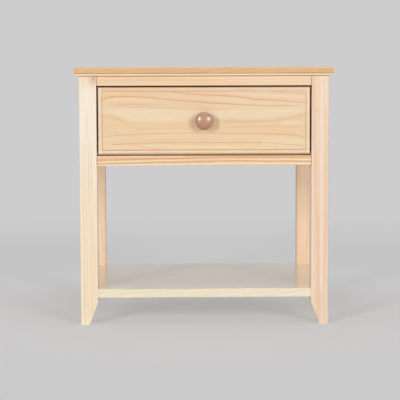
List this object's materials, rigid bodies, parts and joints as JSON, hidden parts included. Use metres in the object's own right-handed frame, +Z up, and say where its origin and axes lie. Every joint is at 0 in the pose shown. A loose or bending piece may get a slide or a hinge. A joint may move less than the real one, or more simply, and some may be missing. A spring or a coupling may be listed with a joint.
{
  "type": "nightstand",
  "caption": "Pine nightstand with tapered legs, a moulded top, an inset drawer on roller slides with a turned knob, and an open lower shelf.",
  "frame": {"origin": "on the floor, under the middle of the footprint from the knob to the backs of the rear legs", "axes": "+Z up; +X to the right as seen from the front; the front with the drawer and knob faces -Y"},
  "size_m": [0.563, 0.446, 0.564],
  "materials": {
    "pine_top": "clear satin lacquer on glued pine",
    "pine_leg": "clear satin lacquer on solid pine",
    "pine_rail": "clear satin lacquer on solid pine",
    "pine_panel": "clear satin lacquer on glued pine",
    "pine_shelf": "clear gloss lacquer on glued pine",
    "pine_drawer_front": "clear satin lacquer on solid pine",
    "pine_box": "bare planed pine",
    "plywood": "bare birch plywood",
    "turned_pine": "clear gloss lacquer on turned pine",
    "coated_steel": "white powder coat",
    "nylon": "natural nylon",
    "bright_steel": "zinc plated",
    "zinc": "die cast, bright",
    "beech": "bare grooved beech",
    "screw_steel": "zinc plated"
  },
  "bodies": {
    "carcass": {"back_panel": "pine_panel", "cam_locks": "zinc", "cam_pins": "screw_steel", "cleat_screws": "screw_steel", "dowels": "beech", "leg_front_left": "pine_leg", "leg_front_right": "pine_leg", "leg_rear_left": "pine_leg", "leg_rear_right": "pine_leg", "lower_front_rail": "pine_rail", "rail_axle_left": "bright_steel", "rail_axle_right": "bright_steel", "rail_screws": "screw_steel", "shelf": "pine_shelf", "side_apron_left": "pine_panel", "side_apron_right": "pine_panel", "slide_cleat_left": "pine_panel", "slide_cleat_right": "pine_panel", "slide_rail_left": "coated_steel", "slide_rail_right": "coated_steel", "top_panel": "pine_top", "upper_front_rail": "pine_rail"},
    "drawer": {"drawer_front": "pine_drawer_front", "drawer_box_front": "pine_box", "drawer_side_left": "pine_box", "drawer_side_right": "pine_box", "drawer_back": "pine_box", "drawer_bottom": "plywood", "slide_arm_left": "coated_steel", "slide_arm_right": "coated_steel", "arm_axle_left": "bright_steel", "arm_axle_right": "bright_steel", "knob": "turned_pine", "knob_screw": "screw_steel", "arm_screws": "screw_steel", "box_screws": "screw_steel", "front_screws": "screw_steel"},
    "rail_roller_left": {"rail_roller_left": "nylon"},
    "rail_roller_right": {"rail_roller_right": "nylon"},
    "arm_roller_left": {"arm_roller_left": "nylon"},
    "arm_roller_right": {"arm_roller_right": "nylon"}
  },
  "joints": [
    {"name": "drawer_slide", "type": "slide", "parent": "carcass", "child": "drawer", "axis": [0, -1, 0], "range_m": [0, 0.255]},
    {"name": "rail_roll_left", "type": "hinge", "parent": "carcass", "child": "rail_roller_left", "pos_m": [-0.22775, -0.16, 0.3905], "axis": [1, 0, 0], "continuous": true},
    {"name": "rail_roll_right", "type": "hinge", "parent": "carcass", "child": "rail_roller_right", "pos_m": [0.22775, -0.16, 0.3905], "axis": [1, 0, 0], "continuous": true},
    {"name": "arm_roll_left", "type": "hinge", "parent": "drawer", "child": "arm_roller_left", "pos_m": [-0.22775, 0.1665, 0.3905], "axis": [1, 0, 0], "continuous": true},
    {"name": "arm_roll_right", "type": "hinge", "parent": "drawer", "child": "arm_roller_right", "pos_m": [0.22775, 0.1665, 0.3905], "axis": [1, 0, 0], "continuous": true}
  ],
  "couplings": [
    {"joint": "rail_roll_left", "follows": "drawer_slide", "rad_per_m": 100},
    {"joint": "rail_roll_right", "follows": "drawer_slide", "rad_per_m": 100},
    {"joint": "arm_roll_left", "follows": "drawer_slide", "rad_per_m": 100},
    {"joint": "arm_roll_right", "follows": "drawer_slide", "rad_per_m": 100}
  ]
}
